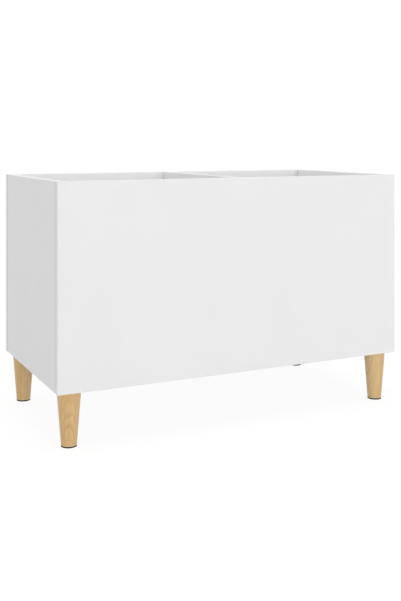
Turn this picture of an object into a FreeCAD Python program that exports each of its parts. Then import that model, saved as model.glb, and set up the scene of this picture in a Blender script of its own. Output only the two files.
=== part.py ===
"""Open-topped record cabinet of melamine-faced board on four turned legs.

Millimetres. +X is to the right, +Y to the back and +Z up, with the origin on the floor under the
middle of the cabinet. The front and back panels run the full width and cover the ends of the side
panels. A divider splits the box into two compartments, and the bottom panel lies between the four
walls, level with their undersides. Cam locks draw every butt joint together and dowels line it up.
Each leg turns into an insert nut in the bottom panel.
"""
import FreeCAD, Part
import os

from collections import defaultdict
from FreeCAD import Vector

# Overall sizes
cabinet_width = 745.0
cabinet_depth = 380.0
wall_height = 380.0
leg_length = 100.0
pad_thickness = 2.5

# Boards and edge banding
board = 15.0
banding = 0.8
banding_rim = 0.3      # flat left on the edge of the banding beside its rounded arris
joint_gap = 0.3        # fine line left where the end of a board meets the face of another

# Holes for the fasteners
slip = 0.05            # radial clearance of a fastener in its hole
tip_room = 0.5         # free depth past the tip of a fastener
face_cover = 4.0       # board left under a hole drilled into a face

# Cam locks with their bolts and caps
cam_setback = 34.0     # from the joint to the axis of the cam
cam_draw = 1.8         # from the axis of the cam to the middle of the bolt's head
cam_wall = 2.0
cam_floor = 1.1
cam_sink = 0.2         # how far the cam lies under the face of the board
cam_room = 0.1         # radial clearance of the cam in its pocket
cam_turn = 150.0       # degrees from where the bolt's head enters to where it is locked
drive_span = 6.0
drive_width = 1.3
drive_depth = 2.0
pointer_length = 3.0
pointer_depth = 0.4
head_radius = 3.3
head_room = 0.3        # clearance of the bolt's head and neck inside the cam
neck_radius = 2.1
shank_radius = 3.5
bolt_thread_radius = 3.2
bolt_thread_depth = 0.6
bolt_thread_pitch = 2.0
cap_lap = 1.1          # how far the cap covers the board around the cam's pocket
cap_thickness = 1.2
cap_rim = 0.4          # straight edge left under the rounding of the cap
peg_room = 0.15        # clearance of the cap's peg in the cam's cross recess

# Dowels
dowel_length = 30.0
dowel_radius = 3.95
dowel_chamfer = 1.0
flute_count = 12
flute_radius = 0.35

# Places of the fasteners, from the ends of their joints
wall_cam_inset = 60.0
wall_dowel_inset = 110.0
long_cam_inset = 130.0
long_dowel_insets = (65.0, 195.0)
short_dowel_inset = 65.0
divider_dowel_inset = 85.0

# Legs, foot pads and leg fasteners
leg_setback = 15.5     # from the inner faces of the walls to the axis of a leg
leg_top_diameter = 45.0
leg_foot_diameter = 29.0
leg_top_round = 0.6
leg_foot_round = 1.2
pad_round = 0.4
stud_radius = 4.0
stud_collar = 2.0      # plain length between the two threads
stud_thread_depth = 0.5
stud_wood_length = 38.0
stud_wood_pitch = 3.0
stud_machine_pitch = 1.25
insert_cover = 2.5     # board left above an insert nut
insert_wall = 0.85     # between the bore of an insert nut and the root of its outer thread
insert_thread_depth = 0.7
insert_thread_pitch = 2.5
flange_rim = 2.4       # how far the flange of an insert nut stands out from its thread
flange_thickness = 1.2

# Planes and lengths that follow from the sizes above
half_width = cabinet_width / 2
half_depth = cabinet_depth / 2
half_board = board / 2
arris = banding - banding_rim
inner_half_width = half_width - board
inner_half_depth = half_depth - board
cross_reach = inner_half_depth - joint_gap
underside = pad_thickness + leg_length
top = underside + wall_height
floor_top = underside + board
face_hole = board - face_cover
face_grip = face_hole - tip_room
edge_grip = dowel_length - face_grip
cam_face = half_board - cam_sink
head_way = head_radius + head_room
neck_way = neck_radius + head_room
cam_below = head_way + cam_floor
cam_cavity = cam_draw + head_way
cam_radius = cam_cavity + cam_wall
pocket_radius = cam_radius + cam_room
head_place = cam_setback - cam_draw
insert_length = board - insert_cover - tip_room
insert_bore = stud_radius + slip
insert_radius = insert_bore + insert_wall + insert_thread_depth
flange_radius = insert_radius + flange_rim

X, Y, Z = Vector(1, 0, 0), Vector(0, 1, 0), Vector(0, 0, 1)

# Walls that a joint faces: the panel, where its inner face lies and the way into the cabinet
front_and_back = (("front_panel", -inner_half_depth, Y), ("back_panel", inner_half_depth, -Y))
left_and_right = (("left_side_panel", -inner_half_width, X), ("right_side_panel", inner_half_width, -X))

pieces = defaultdict(list)
holes = defaultdict(list)


def block(low, high):
    """Box between two corners."""
    size = [b - a for a, b in zip(low, high)]
    return Part.makeBox(*size, Vector(*low))


def turned(outline):
    """Solid of revolution about Z from a closed outline of (radius, height) points."""
    points = [Vector(radius, 0, height) for radius, height in outline]
    return Part.Face(Part.makePolygon(points + points[:1])).revolve(Vector(), Z, 360)


def lying(solid):
    """Turn a solid made along Z so that it lies along X."""
    solid.rotate(Vector(), Y, 90)
    return solid


def thread(start, end, radius, depth, pitch):
    """Outline of a thread, drawn as plain ridges, from one height to another."""
    count = max(1, round((end - start) / pitch))
    step = (end - start) / count
    outline = [(radius - depth, start)]
    for ridge in range(count):
        outline.append((radius, start + (ridge + 0.5) * step))
        outline.append((radius - depth, start + (ridge + 1) * step))
    return outline


def rounded(solid, radius, choose):
    """Round the edges that choose() picks."""
    return solid.makeFillet(radius, [edge for edge in solid.Edges if choose(edge)])


def upright(edge):
    """Whether a straight edge stands along Z."""
    return edge.BoundBox.ZLength > max(edge.BoundBox.XLength, edge.BoundBox.YLength)


def level_at(height):
    """Test for edges that lie level at a height."""
    def level(edge):
        box = edge.BoundBox
        return round(box.ZMin - height, 3) == 0 and round(box.ZMax - height, 3) == 0

    return level


# Boards and edge banding

def band_strip(low, high, out, between=False):
    """Strip of edge banding with its outer arrises rounded.

    A strip that ends between two others is rounded only along its length.
    """
    strip = block(low, high)
    face = max(vertex.Point.dot(out) for vertex in strip.Vertexes)
    length = max(edge.Length for edge in strip.Edges)

    def exposed(edge):
        on_face = [face - vertex.Point.dot(out) < banding / 2 for vertex in edge.Vertexes]
        if between:
            return all(on_face) and edge.Length > length - banding
        return any(on_face)

    return rounded(strip, arris, exposed)


def add_wall(name, y_low, y_high):
    """Front or back panel: banded ends over the full height, banded edges between them."""
    band_x, band_z = half_width - banding, top - banding
    pieces[f"{name}_panel"] = [block((-band_x, y_low, underside + banding), (band_x, y_high, band_z))]
    pieces[f"{name}_edge_banding"] = [
        band_strip((-half_width, y_low, underside), (-band_x, y_high, top), -X),
        band_strip((band_x, y_low, underside), (half_width, y_high, top), X),
        band_strip((-band_x, y_low, underside), (band_x, y_high, underside + banding), -Z, between=True),
        band_strip((-band_x, y_low, band_z), (band_x, y_high, top), Z, between=True),
    ]


def add_cross_board(name, x_low, x_high, low, banded_below):
    """Board from front to back, banded on top and, where its underside shows, below."""
    y_low, y_high, band_z = -cross_reach, cross_reach, top - banding
    bands = [band_strip((x_low, y_low, band_z), (x_high, y_high, top), Z)]
    if banded_below:
        bands.append(band_strip((x_low, y_low, low), (x_high, y_high, low + banding), -Z))
        low += banding
    panel = block((x_low, y_low, low), (x_high, y_high, band_z))
    pieces[f"{name}_panel"] = [rounded(panel, arris, upright)]
    pieces[f"{name}_edge_banding"] = bands


def add_bottom():
    """Bottom panel between the four walls."""
    reach_x = inner_half_width - joint_gap
    low, high = (-reach_x, -cross_reach, underside), (reach_x, cross_reach, floor_top)
    pieces["bottom_panel"] = [block(low, high)]


# Cam fittings and dowels, drawn along X from the joint into the butting board, cam face upwards

def cross(span, width, low, high):
    """Cross-shaped prism about the cam's axis."""
    arms = []
    for length, breadth in ((span, width), (width, span)):
        arms.append(block(
            (cam_setback - length / 2, -breadth / 2, low), (cam_setback + length / 2, breadth / 2, high)))
    return arms[0].fuse(arms[1]).removeSplitter()


def cam_lock():
    """Hollow cam with its head entry, neck slot, cross recess and pointer, turned to locked."""
    axis = Vector(cam_setback, 0, 0)
    reach = 2 * cam_radius
    body = Part.makeCylinder(cam_radius, cam_face + cam_below, axis - Z * cam_below)
    cavity = Part.makeCylinder(cam_cavity, 2 * head_way, axis - Z * head_way)
    neck = Part.makeCylinder(neck_way, reach, axis, -X)
    entry = Part.makeCylinder(head_way, reach, axis, -X)
    entry.rotate(axis, Z, cam_turn)
    slot = Part.makeCylinder(reach, 2 * neck_way, axis - Z * neck_way, Z, cam_turn)
    slot.rotate(axis, Z, 180)
    recess = cross(drive_span, drive_width, cam_face - drive_depth, board)
    pointer_end = cam_setback - cam_radius + pointer_length
    pointer = block(
        (0, -drive_width / 2, cam_face - pointer_depth), (pointer_end, drive_width / 2, board))
    return body.cut([cavity, neck, entry, slot, recess, pointer]).Solids[0]


def cam_bolt():
    """Ball-headed bolt: thread in the facing board, shank in the butting one, head in the cam."""
    shank_end = cam_setback - cam_radius - head_room
    outline = [(0, -face_grip)]
    outline += thread(-face_grip, 0, bolt_thread_radius, bolt_thread_depth, bolt_thread_pitch)
    outline += [(shank_radius, 0), (shank_radius, shank_end), (neck_radius, shank_end)]
    outline += [(neck_radius, head_place), (0, head_place)]
    head = Part.makeSphere(head_radius, Vector(0, 0, head_place))
    return lying(turned(outline).fuse(head))


def cam_cap():
    """Push-in cap on the face of the board, with a cross peg in the cam's recess."""
    base = Vector(cam_setback, 0, half_board)
    disc = Part.makeCylinder(pocket_radius + cap_lap, cap_thickness, base)
    disc = rounded(disc, cap_thickness - cap_rim, level_at(half_board + cap_thickness))
    peg_low = cam_face - drive_depth + peg_room
    peg = cross(drive_span - 2 * peg_room, drive_width - 2 * peg_room, peg_low, half_board)
    return disc.fuse(peg).removeSplitter()


def cam_hole():
    """Room for a cam and its bolt in the two boards of a joint."""
    facing = Part.makeCylinder(bolt_thread_radius + slip, face_hole, Vector(), -X)
    butting = Part.makeCylinder(shank_radius + slip, cam_setback, Vector(), X)
    pocket_floor = Vector(cam_setback, 0, -cam_below - tip_room)
    pocket = Part.makeCylinder(pocket_radius, 2 * board, pocket_floor)
    return facing.fuse([butting, pocket])


def dowel():
    """Fluted dowel with chamfered ends, across the joint."""
    narrow = dowel_radius - dowel_chamfer
    rod = turned([
        (0, -face_grip), (narrow, -face_grip), (dowel_radius, dowel_chamfer - face_grip),
        (dowel_radius, edge_grip - dowel_chamfer), (narrow, edge_grip), (0, edge_grip),
    ])
    flutes = []
    for number in range(flute_count):
        flute = Part.makeCylinder(flute_radius, dowel_length, Vector(dowel_radius, 0, -face_grip))
        flute.rotate(Vector(), Z, 360 * number / flute_count)
        flutes.append(flute)
    return lying(rod.cut(flutes).Solids[0])


def dowel_hole():
    """Room for a dowel in the two boards of a joint."""
    start = Vector(-face_hole, 0, 0)
    return Part.makeCylinder(dowel_radius + slip, face_hole + edge_grip + tip_room, start, X)


def site(origin, into, out):
    """Placement at a joint: X into the butting board, Z out of the face that holds its cams."""
    across = out.cross(into)
    return FreeCAD.Placement(FreeCAD.Matrix(
        into.x, across.x, out.x, origin[0],
        into.y, across.y, out.y, origin[1],
        into.z, across.z, out.z, origin[2],
        0, 0, 0, 1,
    ))


def placed(solid, placement):
    """Copy of a solid, moved from where it was drawn."""
    copy = solid.copy()
    copy.Placement = placement * solid.Placement
    return copy


def put(node, solid, placement):
    """Add a placed copy of a solid to a node."""
    pieces[node].append(placed(solid, placement))


def fasten(group, butting, facing, cams=(), dowels=(), capped=True):
    """Fill a butt joint with fasteners and note the holes that they need in both boards."""
    for place in cams:
        put(f"cam_locks_{group}", cam_lock_solid, place)
        put(f"cam_bolts_{group}", cam_bolt_solid, place)
        if capped:
            put(f"cam_caps_{group}", cam_cap_solid, place)
    for place in dowels:
        put(f"dowels_{group}", dowel_solid, place)
    for solid, places in ((cam_hole_solid, cams), (dowel_hole_solid, dowels)):
        for place in places:
            hole = placed(solid, place)
            holes[butting].append(hole)
            holes[facing].append(hole)


def fasten_cross_board(group, x_middle, out):
    """Join a board that runs front to back to the front and back panels."""
    for facing, y_joint, into in front_and_back:
        rows = []
        for inset in (wall_cam_inset, wall_dowel_inset):
            heights = (underside + inset, top - inset)
            rows.append([site((x_middle, y_joint, height), into, out) for height in heights])
        fasten(group, f"{group}_panel", facing, *rows)


def fasten_bottom():
    """Join the bottom panel to the four walls, with its cams in the underside."""
    middle = underside + half_board
    cam_x = inner_half_width - long_cam_inset
    dowel_x = [inner_half_width - inset for inset in long_dowel_insets]
    dowel_y = inner_half_depth - short_dowel_inset
    for facing, y_joint, into in front_and_back:
        cams = [site((x, y_joint, middle), into, -Z) for x in (-cam_x, 0, cam_x)]
        dowels = [site((side * x, y_joint, middle), into, -Z) for x in dowel_x for side in (-1, 1)]
        fasten("bottom", "bottom_panel", facing, cams, dowels, capped=False)
    for facing, x_joint, into in left_and_right:
        cams = [site((x_joint, 0, middle), into, -Z)]
        dowels = [site((x_joint, y, middle), into, -Z) for y in (-dowel_y, dowel_y)]
        fasten("bottom", "bottom_panel", facing, cams, dowels, capped=False)
    foot_y = inner_half_depth - divider_dowel_inset
    feet = [site((0, y, floor_top), Z, X) for y in (-foot_y, foot_y)]
    fasten("divider", "divider_panel", "bottom_panel", dowels=feet)


# Legs, drawn about Z

def leg():
    """Turned, tapered leg with the hole for its hanger bolt."""
    foot, shoulder = leg_foot_diameter / 2, leg_top_diameter / 2
    taper = turned([(0, pad_thickness), (foot, pad_thickness), (shoulder, underside), (0, underside)])
    taper = rounded(taper, leg_foot_round, level_at(pad_thickness))
    taper = rounded(taper, leg_top_round, level_at(underside))
    depth = stud_wood_length + tip_room
    return taper.cut(Part.makeCylinder(stud_radius + slip, depth, Z * (underside - depth)))


def foot_pad():
    """Thin pad as wide as the foot of the leg."""
    disc = Part.makeCylinder(leg_foot_diameter / 2, pad_thickness)
    return rounded(rounded(disc, pad_round, level_at(0)), pad_round, level_at(pad_thickness))


def hanger_bolt():
    """Wood thread in the leg, machine thread in the insert nut."""
    collar = underside - stud_collar
    tip = underside + insert_length
    outline = [(0, underside - stud_wood_length)]
    outline += thread(underside - stud_wood_length, collar, stud_radius, stud_thread_depth, stud_wood_pitch)
    outline += [(stud_radius, collar), (stud_radius, underside)]
    outline += thread(underside, tip, stud_radius, stud_thread_depth, stud_machine_pitch)
    return turned(outline + [(0, tip)])


def insert_nut():
    """Flanged nut, level with the underside of the bottom panel."""
    shoulder, end = underside + flange_thickness, underside + insert_length
    outline = [(insert_bore, underside), (flange_radius, underside), (flange_radius, shoulder)]
    outline += thread(shoulder, end, insert_radius, insert_thread_depth, insert_thread_pitch)
    return turned(outline + [(insert_bore, end)])


def insert_hole():
    """Room for an insert nut and its flange in the bottom panel."""
    bore = Part.makeCylinder(insert_radius + slip, insert_length + tip_room, Z * underside)
    return bore.fuse(Part.makeCylinder(flange_radius + slip, flange_thickness, Z * underside))


def add_legs():
    """Four legs with their pads and fasteners, one at each corner of the bottom panel."""
    leg_x, leg_y = inner_half_width - leg_setback, inner_half_depth - leg_setback
    for row, y in (("front", -leg_y), ("back", leg_y)):
        for side, x in (("left", -leg_x), ("right", leg_x)):
            corner = FreeCAD.Placement(Vector(x, y, 0), FreeCAD.Rotation())
            put(f"leg_{row}_{side}", leg_solid, corner)
            put(f"foot_pad_{row}_{side}", foot_pad_solid, corner)
            put("hanger_bolts", hanger_bolt_solid, corner)
            put("insert_nuts", insert_nut_solid, corner)
            holes["bottom_panel"].append(placed(insert_hole_solid, corner))


cam_lock_solid = cam_lock()
cam_bolt_solid = cam_bolt()
cam_cap_solid = cam_cap()
cam_hole_solid = cam_hole()
dowel_solid = dowel()
dowel_hole_solid = dowel_hole()
leg_solid = leg()
foot_pad_solid = foot_pad()
hanger_bolt_solid = hanger_bolt()
insert_nut_solid = insert_nut()
insert_hole_solid = insert_hole()

add_wall("front", -half_depth, -inner_half_depth)
add_wall("back", inner_half_depth, half_depth)
add_cross_board("left_side", -half_width, -inner_half_width, underside, banded_below=True)
add_cross_board("right_side", inner_half_width, half_width, underside, banded_below=True)
add_cross_board("divider", -half_board, half_board, floor_top, banded_below=False)
add_bottom()
fasten_cross_board("left_side", half_board - half_width, X)
fasten_cross_board("right_side", half_width - half_board, -X)
fasten_cross_board("divider", 0, X)
fasten_bottom()
add_legs()

os.makedirs("parts", exist_ok=True)
for node, solids in pieces.items():
    if node in holes:
        solids = solids[0].cut(holes[node]).Solids
    shape = solids[0] if len(solids) == 1 else Part.makeCompound(solids)
    shape.exportStep(f"parts/{node}.step")
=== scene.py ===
"""Record cabinet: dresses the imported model. Metres, same frame as the CAD: +X right, +Y back, +Z up."""

import math

import bpy
import numpy as np
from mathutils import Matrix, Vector


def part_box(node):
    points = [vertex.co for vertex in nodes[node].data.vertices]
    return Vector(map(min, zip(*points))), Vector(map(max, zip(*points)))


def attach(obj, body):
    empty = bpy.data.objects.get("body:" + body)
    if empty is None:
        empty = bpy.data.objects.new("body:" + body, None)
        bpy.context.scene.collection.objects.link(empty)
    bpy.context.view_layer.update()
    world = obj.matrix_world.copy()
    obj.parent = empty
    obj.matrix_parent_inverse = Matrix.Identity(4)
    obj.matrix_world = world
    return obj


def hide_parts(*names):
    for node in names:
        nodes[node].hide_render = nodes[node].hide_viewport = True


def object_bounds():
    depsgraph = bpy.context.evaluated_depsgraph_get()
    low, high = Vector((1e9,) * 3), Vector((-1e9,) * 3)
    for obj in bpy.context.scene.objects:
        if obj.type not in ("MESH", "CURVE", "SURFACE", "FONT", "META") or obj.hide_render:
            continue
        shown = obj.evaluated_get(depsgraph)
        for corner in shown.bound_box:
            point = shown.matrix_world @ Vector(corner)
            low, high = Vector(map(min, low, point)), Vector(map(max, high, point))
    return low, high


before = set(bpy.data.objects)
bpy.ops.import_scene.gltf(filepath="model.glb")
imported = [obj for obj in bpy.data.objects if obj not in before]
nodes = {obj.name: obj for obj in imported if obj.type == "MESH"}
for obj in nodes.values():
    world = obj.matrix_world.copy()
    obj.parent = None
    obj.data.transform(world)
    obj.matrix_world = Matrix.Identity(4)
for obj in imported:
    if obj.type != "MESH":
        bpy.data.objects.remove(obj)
cad_low, cad_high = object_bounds()
MM = 0.001

# Sizes that the CAD holds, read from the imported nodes
_, wall_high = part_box("front_panel")
band_low, band_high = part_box("front_edge_banding")
BANDING = band_high.x - wall_high.x
JOINT_Y = -wall_high.y  # inner face of the front and back panels, where the other boards butt

# Camera of the photograph: level, with the horizon above the middle of the frame
CAMERA_PLACE = (-0.8318, -1.7070, 0.5542)
CAMERA_YAW = math.radians(26.044)
CAMERA_LENS = 52.862
CAMERA_SHIFT_Y = -0.26514

# Light: pale walls round the stage that fade towards the zenith, a low key from the front, a soft top
SKY_HORIZON, SKY_ZENITH = 1.47, 0.0
BACKDROP = 1.0  # the walls as the eye sees them
KEY_PLACE, KEY_SIZE, KEY_POWER = (0.9, -7.5, 1.3), 2.4, 106.0
TOP_PLACE, TOP_SIZE, TOP_POWER = (0.0, 0.0, 3.2), 3.0, 46.0

# Floor: a grey that takes the shadow, under a glow that only the eye sees
FLOOR_SIZE = 24.0
FLOOR_COLOUR = (0.70, 0.70, 0.70, 1)
FLOOR_GLOW, FLOOR_GLOW_FAR, FLOOR_GLOW_SHARE = 1.12, 1.17, 0.80
FLOOR_NEAR, FLOOR_FAR = 1.0, 3.0  # the glow grows over this ring, where the lamps fall off

# In all materials, a grain is in cells per metre, a relief is a depth and a strength, a gloss is a range
# of roughness, and nearly all values of a noise lie between its low and its high
NOISE_LOW, NOISE_MIDDLE, NOISE_HIGH = 0.3, 0.5, 0.7

# Melamine face of a board
FACE_WHITES = (0.858, 0.858, 0.856), (0.885, 0.885, 0.883)
FACE_EDGE = 0.05 * MM, 0.08 * MM  # depths between which it gives way to the core
CLOUD_GRAIN, CLOUD_SHARE, SPECK_GRAIN = 9.0, 0.7, 900.0
PEARL_GRAIN, PEARL_RELIEF = 750.0, (0.05 * MM, 0.8)
WAVE_GRAIN, WAVE_RELIEF = 28.0, (0.06 * MM, 1.0)
FACE_GLOSS, PEARL_IN_GLOSS, GLOSS_RANGE = (0.52, 0.62), 0.5, (0.4, 1.0)

# Chipboard core of a board
CORE_BROWNS = (0.20, (0.20, 0.135, 0.075)), (0.55, (0.37, 0.265, 0.16)), (0.85, (0.52, 0.40, 0.26))
FLAKE_GRAIN, FLAKE_LIE, FLAKE_SHARE, DUST_GRAIN = 520.0, (1, 1, 1.7), 0.65, 2400.0
CORE_RELIEF, CORE_ROUGHER = (0.35 * MM, 0.8), 0.35

# Edge banding, its glue line and the painted shadow line beside an upright joint, with where each line fades
BAND_WHITES = (0.855, 0.855, 0.852), (0.882, 0.882, 0.880)
BAND_GRAIN, BAND_GLOSS, BAND_RELIEF = 420.0, (0.54, 0.64), (0.02 * MM, 0.5)
GLUE_COLOUR, GLUE_EDGE = (0.66, 0.65, 0.62), (0.05 * MM, 0.16 * MM)
# painted shadow: a dark line along an end strip's arris at the joint, standing in for the shade in the
# joint's gap
JOINT_PAINTED_SHADOW, JOINT_EDGE = (0.035, 0.034, 0.033), (0.30 * MM, 0.42 * MM)

# Leg wood. Pitches are in cells per metre across the leg, across it and along it
WOOD_COLOURS = (0.0, (0.80, 0.575, 0.30)), (0.35, (0.72, 0.475, 0.205)), (0.9, (0.57, 0.335, 0.125))
RING_DRIFT, DRIFT_GRAIN, DRIFT_LIE = 6 * MM, 38.0, (1, 1, 0.35)  # how far rings stray from round
RING_TONES = (0.0, 0.10), (0.10, 0.0), (0.55, 0.28), (0.90, 1.0), (1.0, 0.10)  # darkness across a ring
RING_SHARES = 0.10, 0.38  # how much of that shows in a pale year and in a dark one
YEAR_GRAIN, YEAR_SHARE = 0.9, 0.46  # years change over about a ring
FIBRE_PITCH, FIBRE_SHARE = (1400, 1400, 38), 0.55
STREAK_PITCH, STREAK_SHARE = (230, 230, 9), 0.50
PORE_PITCH, PORE_EDGE, PORE_SHARE = (2600, 2600, 120), (0.66, 0.74), 0.35
PORE_COLOUR = (0.33, 0.175, 0.07)
WOOD_GLOSS, WOOD_RELIEF = (0.34, 0.46), (0.03 * MM, 0.5)

# Painted highlight on the rounded arris round a leg's foot, for the light it catches: its colour and share,
# the heights between which it fades, their unevenness
FOOT_PAINTED_HIGHLIGHT, EASED_SHARE = (0.88, 0.74, 0.52), 0.6
EASED_EDGE, EASED_WAVE = (1.6 * MM, 2.6 * MM), 0.8 * MM

# Legs: each is cut from its own place in the plank. Per leg, shade is the wood's tone, partly set to even out
# how that leg is lit, and slope is painted shade, darker on the heart's side and paler on the other, for how
# light falls across the leg. The function lacquered_wood says what the values are
LEGS = {
    "front_left": dict(heart=(0.0158, 0.0454), lean=-0.20, ring=0.0024, shade=0.12, painted_shading_slope=0.0, seed=1.3),
    "front_right": dict(heart=(0.050, 0.006), lean=0.03, ring=0.0031, shade=0.15, painted_shading_slope=22.0, seed=4.7),
    "back_left": dict(heart=(-0.036, 0.028), lean=-0.10, ring=0.0027, shade=0.07, painted_shading_slope=8.0, seed=7.9),
    "back_right": dict(heart=(0.020, -0.050), lean=0.12, ring=0.0029, shade=0.0, painted_shading_slope=5.0, seed=11.2),
}

# Metal of the fasteners: light and dark, mean roughness, grain
ZINC_PLATE = (0.66, 0.66, 0.64), (0.50, 0.50, 0.50), 0.32, 260.0
CAST_ZINC = (0.52, 0.52, 0.51), (0.38, 0.38, 0.38), 0.44, 420.0
METAL_SPREAD = 0.07  # of the roughness, to each side
METAL_RELIEF, METAL_FINER = (0.01 * MM, 0.5), 6  # the relief's grain is that much finer

# White caps and raw dowels
CAP_WHITES = (0.835, 0.835, 0.825), (0.862, 0.862, 0.852)
CAP_GRAIN, CAP_GLOSS, CAP_RELIEF = 1800.0, (0.40, 0.52), (0.02 * MM, 0.6)
BEECH_COLOURS, BEECH_RANGE = ((0.72, 0.52, 0.32), (0.56, 0.36, 0.19)), (0.32, 0.68)
BEECH_FLECK, BEECH_FLECK_SHARE, BEECH_CLOUD, BEECH_RELIEF = 1100.0, 0.6, 160.0, (0.04 * MM, 0.5)

# Felt: its colours, then the form of a pad
FELT_COLOURS, FELT_RANGE = ((0.016, 0.011, 0.007), (0.070, 0.048, 0.030)), (0.32, 0.68)
FELT_GRAIN, FELT_LIE, FELT_BUMP = 900.0, (1, 1, 4.0), (0.12 * MM, 0.8)
PAD_SPOKES, PAD_RINGS, PAD_WALL, PAD_ARC = 320, 24, 14, 6  # steps round it, out, up and over an arris
PAD_ROUND = 0.5 * MM
FELT_RELIEF, FELT_FUZZ = 0.07 * MM, 0.35  # depth of the strands, and the share of it that is loose fuzz
FELT_WAVES, FELT_LEVEL, FELT_UPRIGHT = 40, 1100.0, 5200.0  # waves of the strands, their pitch each way
FELT_SEED = 20


class Nodes:
    """A node tree and short calls that add its nodes. Each call returns the new node's output."""

    def __init__(self, tree):
        self.tree = tree

    def add(self, kind, settings, inputs, output=0):
        node = self.tree.nodes.new(kind)
        for key, value in settings.items():
            setattr(node, key, value)
        for key, value in inputs.items():
            if isinstance(value, bpy.types.NodeSocket):
                self.tree.links.new(value, node.inputs[key])
            else:
                node.inputs[key].default_value = value
        return node.outputs[output]

    def end(self, kind, surface):
        """Leads to the tree's own output, and so returns nothing."""
        self.tree.links.new(surface, self.tree.nodes.new(kind).inputs["Surface"])

    def place(self, shift=(0, 0, 0), turn=(0, 0, 0), scale=(1, 1, 1), after=None):
        point = after or self.add("ShaderNodeTexCoord", {}, {}, "Object")
        moves = {"Vector": point, "Location": shift, "Rotation": turn, "Scale": scale}
        return self.add("ShaderNodeMapping", {}, moves)

    def split(self, point):
        node = self.add("ShaderNodeSeparateXYZ", {}, {"Vector": point}).node
        return node.outputs["X"], node.outputs["Y"], node.outputs["Z"]

    def noise(self, at, scale, detail=2.0, roughness=0.5, distortion=0.0):
        return self.add("ShaderNodeTexNoise", {}, {"Vector": at, "Scale": scale, "Detail": detail,
                                                   "Roughness": roughness, "Distortion": distortion})

    def cells(self, at, scale, feature="SMOOTH_F1", output="Distance"):
        return self.add("ShaderNodeTexVoronoi", {"feature": feature}, {"Vector": at, "Scale": scale}, output)

    def math(self, operation, first, second=0.0, third=0.0):
        return self.add("ShaderNodeMath", {"operation": operation}, {0: first, 1: second, 2: third})

    def away(self, value, line):
        """How far a value is from a line, either way."""
        return self.math("ABSOLUTE", self.math("SUBTRACT", value, line))

    def weigh(self, first, share, second):
        """A share of the first value, and the second for the rest."""
        return self.math("ADD", self.math("MULTIPLY", first, share), self.math("MULTIPLY", second, 1 - share))

    def sway(self, noise, amount):
        """A noise about its middle, times an amount."""
        return self.math("MULTIPLY", self.math("SUBTRACT", noise, NOISE_MIDDLE), amount)

    def fit(self, value, low, high, new_low=0.0, new_high=1.0):
        return self.add("ShaderNodeMapRange", {}, {"Value": value, "From Min": low, "From Max": high,
                                                   "To Min": new_low, "To Max": new_high})

    def ramp(self, value, stops):
        node = self.tree.nodes.new("ShaderNodeValToRGB")
        while len(node.color_ramp.elements) < len(stops):
            node.color_ramp.elements.new(0.5)
        for element, (position, colour) in zip(node.color_ramp.elements, stops):
            element.position, element.color = position, (*colour, 1)
        self.tree.links.new(value, node.inputs[0])
        return node.outputs[0]

    def shades(self, noise, colours, ends=(NOISE_LOW, NOISE_HIGH)):
        """From the first colour to the second over the noise's range."""
        return self.ramp(noise, tuple(zip(ends, colours)))

    def mix(self, share, first, second):
        node = self.tree.nodes.new("ShaderNodeMix")
        node.data_type = "RGBA"
        for key, value in ((0, share), (6, first), (7, second)):
            if isinstance(value, bpy.types.NodeSocket):
                self.tree.links.new(value, node.inputs[key])
            else:
                node.inputs[key].default_value = value if key == 0 else (*value, 1)
        return node.outputs[2]

    def bump(self, height, depth, strength, under=None):
        inputs = {"Height": height, "Distance": depth, "Strength": strength}
        if under:
            inputs["Normal"] = under
        return self.add("ShaderNodeBump", {}, inputs)


class Finish(Nodes):
    """A material with its shader, and the nodes that drive it."""

    def __init__(self, name, **constants):
        self.material = bpy.data.materials.new(name)
        self.material.use_nodes = True
        super().__init__(self.material.node_tree)
        self.shader = self.tree.nodes["Principled BSDF"]
        for socket, value in constants.items():
            self.shader.inputs[socket.replace("_", " ")].default_value = value

    def drive(self, socket, value):
        self.tree.links.new(value, self.shader.inputs[socket])


def faced_board(name, axis, low, high):
    """Chipboard between two white melamine faces, square to an axis at low and high: satin faces with a
    fine pearl grain and a faint waviness of the board, and bare flakes on cut ends and in drilled holes."""
    f = Finish(name, IOR=1.5, Specular_IOR_Level=0.35)
    at = f.place()
    across = f.add("ShaderNodeSeparateXYZ", {}, {"Vector": at}, axis)
    depth = f.math("MINIMUM", f.math("SUBTRACT", across, low), f.math("SUBTRACT", high, across))
    bare = f.fit(depth, *FACE_EDGE)
    cloud = f.noise(at, CLOUD_GRAIN, detail=3.0)
    speck = f.noise(at, SPECK_GRAIN, roughness=0.6)
    white = f.shades(f.weigh(cloud, CLOUD_SHARE, speck), FACE_WHITES)
    flake = f.cells(f.place(scale=FLAKE_LIE), FLAKE_GRAIN, "F1", "Color")
    dust = f.noise(at, DUST_GRAIN, roughness=0.6)
    core = f.weigh(flake, FLAKE_SHARE, dust)
    f.drive("Base Color", f.mix(bare, white, f.ramp(core, CORE_BROWNS)))
    pearl = f.cells(at, PEARL_GRAIN)
    grain = f.math("ADD", f.math("MULTIPLY", pearl, PEARL_IN_GLOSS), cloud)
    satin = f.fit(grain, *GLOSS_RANGE, *FACE_GLOSS)
    f.drive("Roughness", f.math("ADD", satin, f.math("MULTIPLY", bare, CORE_ROUGHER)))
    wave = f.bump(f.noise(at, WAVE_GRAIN), *WAVE_RELIEF)
    skin = f.bump(pearl, *PEARL_RELIEF, wave)
    f.drive("Normal", f.bump(f.math("MULTIPLY", core, bare), *CORE_RELIEF, skin))
    return f.material


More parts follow.
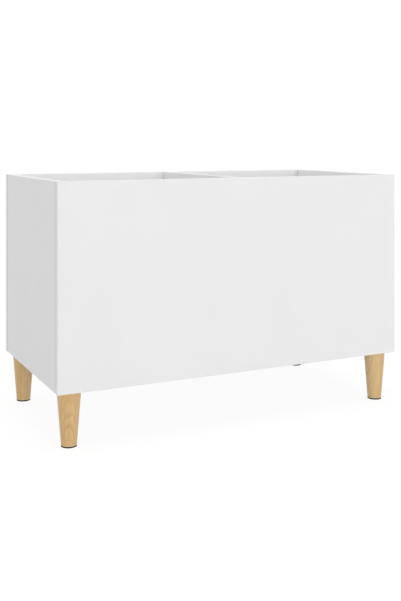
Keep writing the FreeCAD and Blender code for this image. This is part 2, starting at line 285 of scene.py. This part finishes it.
def banding(name, has_ends):
    """Plastic edge strip, a little rougher than the face, with its glue line along the board. Strips on
    the ends of a panel have a painted shadow: a dark line along the arris at the joint, for the shade in its
    gap."""
    f = Finish(name, IOR=1.48, Specular_IOR_Level=0.35)
    at = f.place()
    speck = f.noise(at, BAND_GRAIN, detail=3.0, roughness=0.6)
    x, y, z = f.split(at)
    from_glue = f.math("MINIMUM", f.away(z, band_high.z - BANDING), f.away(z, band_low.z + BANDING))
    if has_ends:
        out = f.math("SUBTRACT", f.math("ABSOLUTE", x), band_high.x - BANDING)
        from_glue = f.math("MINIMUM", from_glue, f.math("ABSOLUTE", out))
    colour = f.mix(f.fit(from_glue, *GLUE_EDGE), GLUE_COLOUR, f.shades(speck, BAND_WHITES))
    if has_ends:
        # painted shadow: the end strip is painted dark along its arris at the joint, for the shade in the gap
        from_joint = f.math("SUBTRACT", f.math("ABSOLUTE", y), JOINT_Y)
        painted_joint_shadow = f.fit(from_joint, *JOINT_EDGE, 1.0, 0.0)
        on_end = f.math("GREATER_THAN", out, 0.0)
        colour = f.mix(f.math("MULTIPLY", painted_joint_shadow, on_end), colour, JOINT_PAINTED_SHADOW)
    f.drive("Base Color", colour)
    f.drive("Roughness", f.fit(speck, NOISE_LOW, NOISE_HIGH, *BAND_GLOSS))
    f.drive("Normal", f.bump(speck, *BAND_RELIEF))
    return f.material


def lacquered_wood(name, axis_foot, heart, lean, ring, shade, painted_shading_slope, seed):
    """Turned light hardwood under clear lacquer. The growth rings, ring metres wide, are round the tree's
    heart, which stands off the leg's axis at the vector heart and leans by lean (metres per metre) towards
    it. The wood is darker by shade all over, partly set per leg to even out its lighting, and by slope
    towards the heart, which is painted shade and light across the leg. The rounded arris round the foot is
    painted paler, a painted highlight for the light it catches."""
    f = Finish(name, IOR=1.5, Coat_Weight=0.25, Coat_Roughness=0.22)
    local = f.place(shift=tuple(-axis_foot))
    turned = f.place(turn=(0, 0, -math.atan2(heart[1], heart[0])), after=local)
    x, y, z = f.split(turned)
    drift = f.noise(f.place(shift=(seed, seed, 0), scale=DRIFT_LIE, after=turned), DRIFT_GRAIN)
    off = f.math("SUBTRACT", f.math("SUBTRACT", x, math.hypot(*heart)), f.math("MULTIPLY", z, lean))
    off = f.math("ADD", off, f.sway(drift, RING_DRIFT))
    radius = f.math("SQRT", f.math("ADD", f.math("MULTIPLY", off, off), f.math("MULTIPLY", y, y)))
    turns = f.math("DIVIDE", radius, ring)
    season = f.ramp(f.math("FRACT", turns), [(within, (dark,) * 3) for within, dark in RING_TONES])
    years = {"W": turns, "Scale": YEAR_GRAIN, "Detail": 2.0}
    year = f.add("ShaderNodeTexNoise", {"noise_dimensions": "1D"}, years)
    fibre = f.noise(f.place(shift=(0, 0, seed), scale=FIBRE_PITCH, after=turned), 1.0, 3.0, 0.65)
    streak = f.noise(f.place(shift=(seed, 0, 0), scale=STREAK_PITCH, after=turned), 1.0)
    tone = f.math("MULTIPLY", season, f.fit(year, NOISE_LOW, NOISE_HIGH, *RING_SHARES))
    tone = f.math("ADD", tone, f.math("MULTIPLY_ADD", year, YEAR_SHARE, shade))
    # painted shade and light: darker towards the heart's side and paler away from it, by slope, for how light
    # falls across the leg
    tone = f.math("MULTIPLY_ADD", x, painted_shading_slope, tone)
    tone = f.math("ADD", tone, f.sway(fibre, FIBRE_SHARE))
    tone = f.math("ADD", tone, f.sway(streak, STREAK_SHARE))
    # painted highlight: the foot's rounded arris is painted paler, for the light it catches
    painted_foot_highlight = f.fit(f.math("MULTIPLY_ADD", fibre, EASED_WAVE, z), *EASED_EDGE, EASED_SHARE, 0.0)
    colour = f.mix(painted_foot_highlight, f.ramp(tone, WOOD_COLOURS), FOOT_PAINTED_HIGHLIGHT)
    pore = f.noise(f.place(shift=(0, seed, 0), scale=PORE_PITCH, after=turned), 1.0, 1.0)
    flecks = f.fit(pore, *PORE_EDGE)
    f.drive("Base Color", f.mix(f.math("MULTIPLY", flecks, PORE_SHARE), colour, PORE_COLOUR))
    f.drive("Roughness", f.fit(fibre, NOISE_LOW, NOISE_HIGH, *WOOD_GLOSS))
    f.drive("Normal", f.bump(f.math("SUBTRACT", fibre, flecks), *WOOD_RELIEF))
    return f.material


def felt(name):
    """Dark pressed felt: matted fibres lying level, no gloss, a little sheen."""
    f = Finish(name, Roughness=0.95, Sheen_Weight=0.06, Sheen_Roughness=0.5)
    strands = f.noise(f.place(scale=FELT_LIE), FELT_GRAIN, detail=3.0, roughness=0.7, distortion=1.5)
    f.drive("Base Color", f.shades(strands, FELT_COLOURS, FELT_RANGE))
    f.drive("Normal", f.bump(strands, *FELT_BUMP))
    return f.material


def metal(name, light, dark, roughness, grain):
    """Bright plated or cast metal with a fine cloudy grain."""
    f = Finish(name, Metallic=1.0)
    at = f.place()
    cloud = f.noise(at, grain, detail=3.0, roughness=0.6)
    f.drive("Base Color", f.shades(cloud, (dark, light)))
    gloss = roughness - METAL_SPREAD, roughness + METAL_SPREAD
    f.drive("Roughness", f.fit(cloud, NOISE_LOW, NOISE_HIGH, *gloss))
    f.drive("Normal", f.bump(f.noise(at, grain * METAL_FINER), *METAL_RELIEF))
    return f.material


def moulded_plastic(name):
    """White moulded cap: fine spark-eroded texture."""
    f = Finish(name, IOR=1.47)
    grain = f.noise(f.place(), CAP_GRAIN, roughness=0.6)
    f.drive("Base Color", f.shades(grain, CAP_WHITES))
    f.drive("Roughness", f.fit(grain, NOISE_LOW, NOISE_HIGH, *CAP_GLOSS))
    f.drive("Normal", f.bump(grain, *CAP_RELIEF))
    return f.material


def raw_beech(name):
    """Bare beech of the dowels: pale, with fine dark flecks."""
    f = Finish(name, Roughness=0.62)
    at = f.place()
    fleck = f.noise(at, BEECH_FLECK, detail=3.0, roughness=0.7)
    tone = f.weigh(fleck, BEECH_FLECK_SHARE, f.noise(at, BEECH_CLOUD))
    f.drive("Base Color", f.shades(tone, BEECH_COLOURS, BEECH_RANGE))
    f.drive("Normal", f.bump(fleck, *BEECH_RELIEF))
    return f.material


def dress(node, material):
    """Gives a CAD node one material all over."""
    mesh = nodes[node].data
    mesh.materials.clear()
    mesh.materials.append(material)
    mesh.polygons.foreach_set("material_index", np.zeros(len(mesh.polygons), np.int32))


# Boards and their edges
FACES = {"front": "Y", "back": "Y", "left_side": "X", "right_side": "X", "divider": "X", "bottom": "Z"}
for board, axis in FACES.items():
    low, high = (getattr(corner, axis.lower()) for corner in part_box(board + "_panel"))
    dress(board + "_panel", faced_board("melamine_" + board, axis, low, high))
corner_banding, plain_banding = banding("edge_banding_ends", True), banding("edge_banding_plain", False)
for board in ("front", "back"):
    dress(board + "_edge_banding", corner_banding)
for board in ("left_side", "right_side", "divider"):
    dress(board + "_edge_banding", plain_banding)

# Legs
for corner, cut in LEGS.items():
    low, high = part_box("leg_" + corner)
    foot = Vector(((low.x + high.x) / 2, (low.y + high.y) / 2, low.z))
    dress("leg_" + corner, lacquered_wood("leg_wood_" + corner, foot, **cut))

# Hardware
HARDWARE = {
    ("hanger_bolts", "insert_nuts", "cam_bolts"): metal("zinc_plate", *ZINC_PLATE),
    ("cam_locks",): metal("cast_zinc", *CAST_ZINC),
    ("cam_caps",): moulded_plastic("cap_plastic_white"),
    ("dowels",): raw_beech("beech_raw"),
}
for starts, material in HARDWARE.items():
    for node in nodes:
        if node.startswith(starts):
            dress(node, material)

# Felt pads
felt_brown = felt("felt_brown")


def pad_profile(radius, thickness):
    """Half section of a pressed felt disc, from the middle of its underside to the middle of its top."""
    turns = [math.radians(90 * k / PAD_ARC) for k in range(1, PAD_ARC)]
    under = [((radius - PAD_ROUND) * k / PAD_RINGS, 0.0) for k in range(1, PAD_RINGS + 1)]
    lower = [(radius - PAD_ROUND * (1 - math.sin(a)), PAD_ROUND * (1 - math.cos(a))) for a in turns]
    wall = [(radius, PAD_ROUND + (thickness - 2 * PAD_ROUND) * k / PAD_WALL) for k in range(PAD_WALL + 1)]
    upper = [(r, thickness - z) for r, z in reversed(lower)]
    over = [(r, thickness) for r, _ in reversed(under)]
    return under + lower + wall + upper + over


def turned_points(profile):
    """Points of the disc with this half section, ring by ring."""
    angles = [2 * math.pi * k / PAD_SPOKES for k in range(PAD_SPOKES)]
    return np.array([(r * math.cos(angle), r * math.sin(angle), z) for r, z in profile for angle in angles])


def turned_faces(rings):
    """Faces between the rings, and fans to the two middle points that come after them."""
    faces = []
    for ring in range(rings - 1):
        for k in range(PAD_SPOKES):
            a, b = ring * PAD_SPOKES + k, ring * PAD_SPOKES + (k + 1) % PAD_SPOKES
            faces.append((a, b, b + PAD_SPOKES, a + PAD_SPOKES))
    last = (rings - 1) * PAD_SPOKES
    bottom, top = rings * PAD_SPOKES, rings * PAD_SPOKES + 1
    for k in range(PAD_SPOKES):
        after = (k + 1) % PAD_SPOKES
        faces.append((bottom, after, k))
        faces.append((top, last + k, last + after))
    return faces


def matted(points, radius, thickness, seed):
    """The points moved in and out like matted strands, none past the top or the underside."""
    random = np.random.default_rng(seed)
    relief = random.uniform(-1, 1, len(points)) * FELT_FUZZ
    for _ in range(FELT_WAVES):
        wave = random.normal(0, 1, 3) * (FELT_LEVEL, FELT_LEVEL, FELT_UPRIGHT)
        relief += np.sin(points @ wave + random.uniform(0, 2 * math.pi)) / math.sqrt(FELT_WAVES)
    out = np.column_stack((points[:, :2] / radius, (points[:, 2] - thickness / 2) / thickness))
    out /= np.linalg.norm(out, axis=1)[:, None]
    moved = points + out * np.clip(relief, -1, 1)[:, None] * FELT_RELIEF
    moved[:, 2] = np.clip(moved[:, 2], 0.0, thickness)
    return moved


def felt_pad(corner, seed):
    """A felt disc where its CAD solid is, with a matted, slightly uneven surface."""
    low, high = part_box("foot_pad_" + corner)
    centre, radius, thickness = (low + high) / 2, (high.x - low.x) / 2, high.z - low.z
    profile = pad_profile(radius - FELT_RELIEF, thickness)
    points = matted(turned_points(profile), radius, thickness, seed)
    points = np.vstack((points, (0, 0, 0), (0, 0, thickness))) + (centre.x, centre.y, low.z)
    mesh = bpy.data.meshes.new("felt_pad_" + corner)
    mesh.from_pydata(points.tolist(), [], turned_faces(len(profile)))
    mesh.polygons.foreach_set("use_smooth", np.ones(len(mesh.polygons), bool))
    mesh.materials.append(felt_brown)
    pad = bpy.data.objects.new("felt_pad_" + corner, mesh)
    bpy.context.scene.collection.objects.link(pad)
    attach(pad, "root")
    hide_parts("foot_pad_" + corner)


for number, corner in enumerate(LEGS):
    felt_pad(corner, FELT_SEED + number)


# Stage, light and camera
def seen_share(n):
    """1 for rays that the eye follows (straight, in gloss, through glass) and 0 for light's own rays."""
    share = n.add("ShaderNodeLightPath", {}, {}, "Is Camera Ray")
    path = share.node
    for other in ("Is Glossy Ray", "Is Transmission Ray"):
        share = n.math("MAXIMUM", share, path.outputs[other])
    return share


def make_floor():
    """A plain floor that keeps the shadow and is white to the eye."""
    half = FLOOR_SIZE / 2
    corners = [(-half, -half, 0), (half, -half, 0), (half, half, 0), (-half, half, 0)]
    mesh = bpy.data.meshes.new("floor")
    mesh.from_pydata(corners, [], [(0, 1, 2, 3)])
    floor = bpy.data.objects.new("floor", mesh)
    bpy.context.scene.collection.objects.link(floor)
    material = bpy.data.materials.new("floor_white")
    material.use_nodes = True
    material.node_tree.nodes.clear()
    n = Nodes(material.node_tree)
    grey = n.add("ShaderNodeBsdfDiffuse", {}, {"Color": FLOOR_COLOUR})
    way = n.add("ShaderNodeTexCoord", {}, {}, "Object")
    reach = n.add("ShaderNodeVectorMath", {"operation": "LENGTH"}, {0: way}, "Value")
    level = n.fit(reach, FLOOR_NEAR, FLOOR_FAR, FLOOR_GLOW, FLOOR_GLOW_FAR)
    glow = n.add("ShaderNodeEmission", {}, {"Strength": level})
    share = n.math("MULTIPLY", seen_share(n), FLOOR_GLOW_SHARE)
    n.end("ShaderNodeOutputMaterial", n.add("ShaderNodeMixShader", {}, {0: share, 1: grey, 2: glow}))
    mesh.materials.append(material)


def make_world():
    """Walls of light that fade upwards, plain white to the eye."""
    world = bpy.data.worlds.new("studio")
    bpy.context.scene.world = world
    world.use_nodes = True
    world.node_tree.nodes.clear()
    n = Nodes(world.node_tree)
    _, _, up = n.split(n.add("ShaderNodeTexCoord", {}, {}, "Generated"))
    sky = n.fit(up, 0.0, 1.0, SKY_HORIZON, SKY_ZENITH)
    strength = n.fit(seen_share(n), 0.0, 1.0, sky, BACKDROP)
    background = n.add("ShaderNodeBackground", {}, {"Color": (1, 1, 1, 1), "Strength": strength})
    n.end("ShaderNodeOutputWorld", background)


def soft_light(name, place, size, power, target):
    """A round soft lamp that faces its target and isn't seen itself."""
    lamp = bpy.data.lights.new(name, "AREA")
    lamp.shape, lamp.size, lamp.energy = "DISK", size, power
    light = bpy.data.objects.new(name, lamp)
    light.location = place
    light.rotation_euler = (Vector(target) - Vector(place)).to_track_quat("-Z", "Y").to_euler()
    light.visible_camera = False
    bpy.context.scene.collection.objects.link(light)


def make_camera():
    """The photograph's camera."""
    camera = bpy.data.objects.new("camera", bpy.data.cameras.new("camera"))
    camera.location = CAMERA_PLACE
    camera.rotation_euler = (math.pi / 2, 0, -CAMERA_YAW)
    camera.data.lens = CAMERA_LENS
    camera.data.shift_y = CAMERA_SHIFT_Y
    bpy.context.scene.collection.objects.link(camera)
    bpy.context.scene.camera = camera


middle = (cad_low + cad_high) / 2
make_floor()
make_world()
soft_light("key", KEY_PLACE, KEY_SIZE, KEY_POWER, middle)
soft_light("top", TOP_PLACE, TOP_SIZE, TOP_POWER, middle)
make_camera()
bpy.context.scene.view_settings.view_transform = "Standard"
